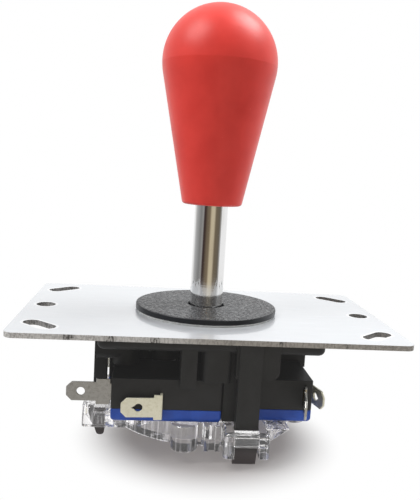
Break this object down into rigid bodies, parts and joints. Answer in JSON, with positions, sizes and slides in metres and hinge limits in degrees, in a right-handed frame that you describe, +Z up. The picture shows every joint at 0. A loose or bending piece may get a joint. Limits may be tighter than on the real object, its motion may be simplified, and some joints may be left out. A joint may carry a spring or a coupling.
{
  "type": "arcade joystick lever",
  "caption": "Bat-top joystick lever on a slotted panel plate, sprung to centre, which tips two ways and presses snap-action switches set round its foot inside a square gate.",
  "frame": {"origin": "on the lever's axis, in the mounting plate's top face, midway between its two side holes", "axes": "+Z up along the shaft to the handle, +X along the plate's long side, -Y the front in the picture"},
  "size_m": [0.098, 0.0696, 0.1149],
  "materials": {
    "zinc_plate": "zinc plated sheet, satin",
    "screw_steel": "zinc plated",
    "black_housing": "moulded, fine grain",
    "clear_gate": "clear, polished",
    "white_nylon": "smooth",
    "black_washer": "leather grain on top, smooth edge",
    "chrome_shaft": "polished",
    "red_handle": "satin, faint mould line",
    "spring_steel": "drawn wire",
    "black_case": "moulded, fine grain",
    "blue_cover": "satin",
    "red_plunger": "satin",
    "brass_leaf": "rolled strip",
    "tinned_tab": "tinned, dull"
  },
  "bodies": {
    "base": {"mounting_plate": "zinc_plate", "plate_screws": "screw_steel", "housing": "black_housing", "restrictor_gate": "clear_gate", "switch_case_front": "black_case", "switch_cover_front": "blue_cover", "spring_leaf_front": "brass_leaf", "common_terminal_front": "tinned_tab", "open_terminal_front": "tinned_tab", "switch_case_right": "black_case", "switch_cover_right": "blue_cover", "spring_leaf_right": "brass_leaf", "common_terminal_right": "tinned_tab", "open_terminal_right": "tinned_tab", "switch_case_back": "black_case", "switch_cover_back": "blue_cover", "spring_leaf_back": "brass_leaf", "common_terminal_back": "tinned_tab", "open_terminal_back": "tinned_tab", "switch_case_left": "black_case", "switch_cover_left": "blue_cover", "spring_leaf_left": "brass_leaf", "common_terminal_left": "tinned_tab", "open_terminal_left": "tinned_tab"},
    "slip_washer": {"slip_washer": "white_nylon"},
    "dust_washer": {"dust_washer": "black_washer"},
    "return_spring": {"return_spring": "spring_steel"},
    "pivot": {"pivot_ball": "white_nylon", "actuator": "black_housing"},
    "lever": {"shaft": "chrome_shaft", "bat_handle": "red_handle", "retaining_ring": "spring_steel"},
    "plunger_front": {"switch_plunger_front": "red_plunger"},
    "plunger_right": {"switch_plunger_right": "red_plunger"},
    "plunger_back": {"switch_plunger_back": "red_plunger"},
    "plunger_left": {"switch_plunger_left": "red_plunger"}
  },
  "joints": [
    {"name": "lever_tilt_x", "type": "hinge", "parent": "base", "child": "return_spring", "pos_m": [0, 0, -0.005], "axis": [1, 0, 0], "range_deg": [-7, 7], "stiffness_Nm_per_rad": 0.4, "deforming": ["return_spring"]},
    {"name": "lever_tilt_y", "type": "hinge", "parent": "return_spring", "child": "pivot", "pos_m": [0, 0, -0.005], "axis": [0, 1, 0], "range_deg": [-7, 7], "stiffness_Nm_per_rad": 0.4, "deforming": ["return_spring"]},
    {"name": "lever_spin", "type": "hinge", "parent": "pivot", "child": "lever", "pos_m": [0, 0, 0], "axis": [0, 0, 1], "continuous": true},
    {"name": "washer_slide_y", "type": "slide", "parent": "base", "child": "slip_washer", "axis": [0, 1, 0], "range_m": [-0.001, 0.001]},
    {"name": "washer_slide_x", "type": "slide", "parent": "slip_washer", "child": "dust_washer", "axis": [1, 0, 0], "range_m": [-0.001, 0.001]},
    {"name": "plunger_front_slide", "type": "slide", "parent": "base", "child": "plunger_front", "axis": [0, -1, 0], "range_m": [-0.0013, 0.0013], "stiffness_N_per_m": 150, "deforming": ["spring_leaf_front"]},
    {"name": "plunger_right_slide", "type": "slide", "parent": "base", "child": "plunger_right", "axis": [1, 0, 0], "range_m": [-0.0013, 0.0013], "stiffness_N_per_m": 150, "deforming": ["spring_leaf_right"]},
    {"name": "plunger_back_slide", "type": "slide", "parent": "base", "child": "plunger_back", "axis": [0, 1, 0], "range_m": [-0.0013, 0.0013], "stiffness_N_per_m": 150, "deforming": ["spring_leaf_back"]},
    {"name": "plunger_left_slide", "type": "slide", "parent": "base", "child": "plunger_left", "axis": [-1, 0, 0], "range_m": [-0.0013, 0.0013], "stiffness_N_per_m": 150, "deforming": ["spring_leaf_left"]}
  ],
  "couplings": [
    {"joint": "washer_slide_y", "follows": "lever_tilt_x", "m_per_rad": -0.006231},
    {"joint": "washer_slide_x", "follows": "lever_tilt_y", "m_per_rad": 0.006231},
    {"joint": "plunger_front_slide", "follows": "lever_tilt_x", "m_per_rad": -0.010231},
    {"joint": "plunger_right_slide", "follows": "lever_tilt_y", "m_per_rad": -0.010231},
    {"joint": "plunger_back_slide", "follows": "lever_tilt_x", "m_per_rad": 0.010231},
    {"joint": "plunger_left_slide", "follows": "lever_tilt_y", "m_per_rad": 0.010231}
  ]
}
